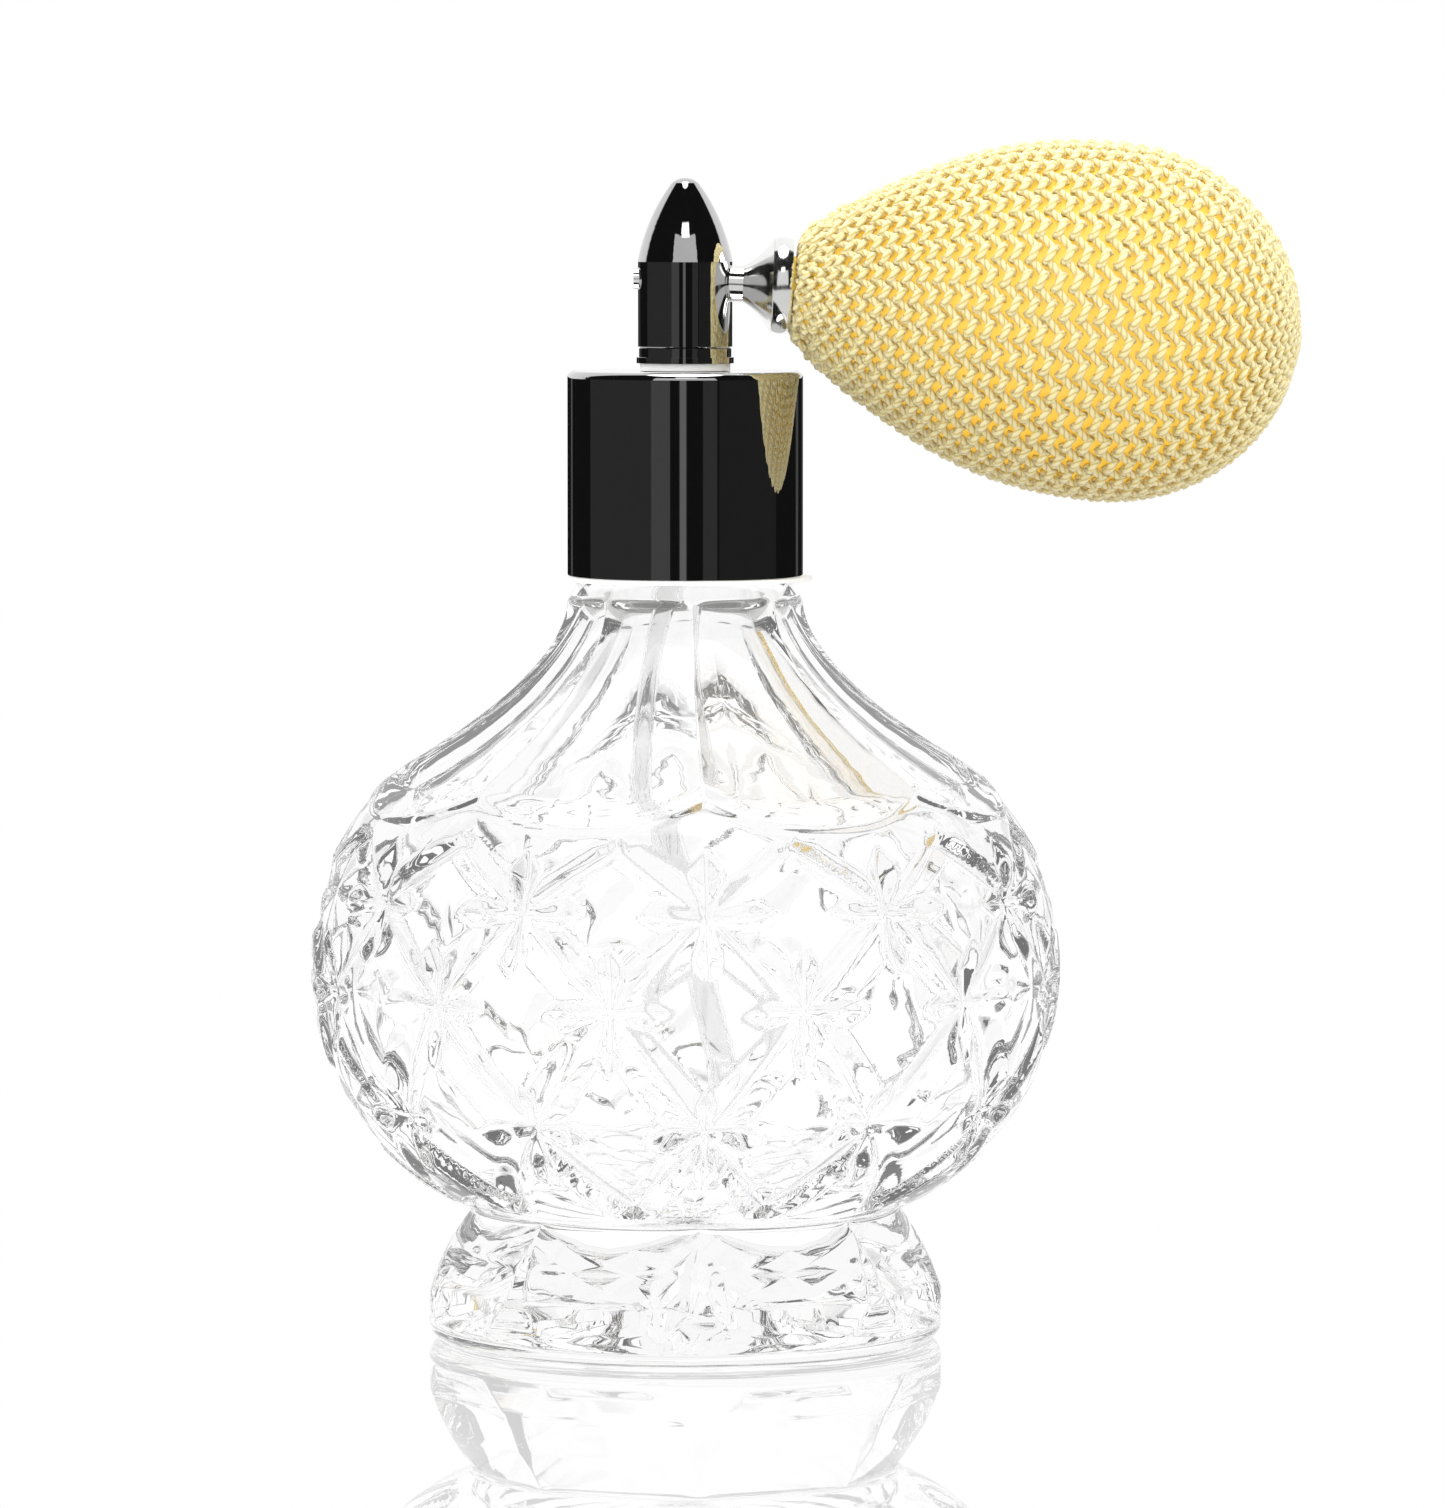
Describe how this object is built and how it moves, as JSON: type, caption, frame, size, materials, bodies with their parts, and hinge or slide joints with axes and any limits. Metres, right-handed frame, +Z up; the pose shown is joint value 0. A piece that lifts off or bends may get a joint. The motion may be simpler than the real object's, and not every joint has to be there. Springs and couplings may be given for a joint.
{
  "type": "perfume atomiser",
  "caption": "Bulb perfume atomiser: cut-glass bottle with a metal screw collar and spray head, and a knitted-net squeeze bulb on a flared metal cone.",
  "frame": {"origin": "centre of the foot's resting plane", "axes": "+Z up the bottle's axis, +X towards the squeeze bulb, -X the way it sprays"},
  "size_m": [0.1015, 0.0772, 0.1223],
  "materials": {
    "glass": "clear cut crystal glass, polished",
    "dark_chrome": "mirror-polished plated metal, reads nearly black",
    "bright_chrome": "mirror-polished bright plated metal",
    "closure_plastic": "natural polypropylene, moulded",
    "tube_plastic": "translucent polyethylene tube",
    "seal_rubber": "moulded nitrile rubber",
    "feed_steel": "drawn stainless tube",
    "bulb_rubber": "yellow latex, smooth and slightly translucent",
    "net_yarn": "knitted glossy rayon yarn, pale cream yellow"
  },
  "bodies": {
    "bottle": {"glass_bottle": "glass", "glass_shoulder": "glass"},
    "closure": {"neck_gasket": "seal_rubber", "valve_housing": "closure_plastic", "dip_tube": "tube_plastic"},
    "collar": {"collar_shell": "dark_chrome", "collar_liner": "closure_plastic"},
    "head": {"head_shell": "dark_chrome", "base_ring": "dark_chrome", "swivel_washer": "closure_plastic", "head_core": "closure_plastic", "stem_seal": "seal_rubber", "feed_tube": "feed_steel", "nozzle_insert": "bright_chrome", "bulb_cone": "bright_chrome", "ferrule_ring": "bright_chrome", "barb_tube": "feed_steel", "neck_clamp": "feed_steel", "knit_cover": "net_yarn", "intake_valve_body": "closure_plastic"},
    "bulb_upper": {"bladder_upper": "bulb_rubber"},
    "bulb_lower": {"bladder_lower": "bulb_rubber"},
    "valve_flap": {"intake_valve_disc": "seal_rubber"}
  },
  "joints": [
    {"name": "closure_lift", "type": "slide", "parent": "bottle", "child": "closure", "axis": [0, 0, 1], "range_m": [0, 0.00635]},
    {"name": "collar_turn", "type": "hinge", "parent": "closure", "child": "collar", "pos_m": [0, 0, 0.088], "axis": [0, 0, 1], "range_deg": [0, 720]},
    {"name": "head_swivel", "type": "hinge", "parent": "closure", "child": "head", "pos_m": [0, 0, 0.1], "axis": [0, 0, 1], "continuous": true},
    {"name": "bulb_squeeze_upper", "type": "slide", "parent": "head", "child": "bulb_upper", "axis": [-0.1115, 0, -0.9938], "range_m": [0, 0.009], "stiffness_N_per_m": 450, "deforming": ["knit_cover", "bladder_upper"]},
    {"name": "bulb_squeeze_lower", "type": "slide", "parent": "head", "child": "bulb_lower", "axis": [0.1115, 0, 0.9938], "range_m": [0, 0.009], "stiffness_N_per_m": 450, "deforming": ["bladder_lower"]},
    {"name": "intake_valve_lift", "type": "slide", "parent": "head", "child": "valve_flap", "axis": [-0.9938, 0, 0.1115], "range_m": [0, 0.0005]}
  ],
  "couplings": [
    {"joint": "collar_turn", "follows": "closure_lift", "rad_per_m": 1979},
    {"joint": "bulb_squeeze_lower", "follows": "bulb_squeeze_upper", "ratio": 1}
  ]
}
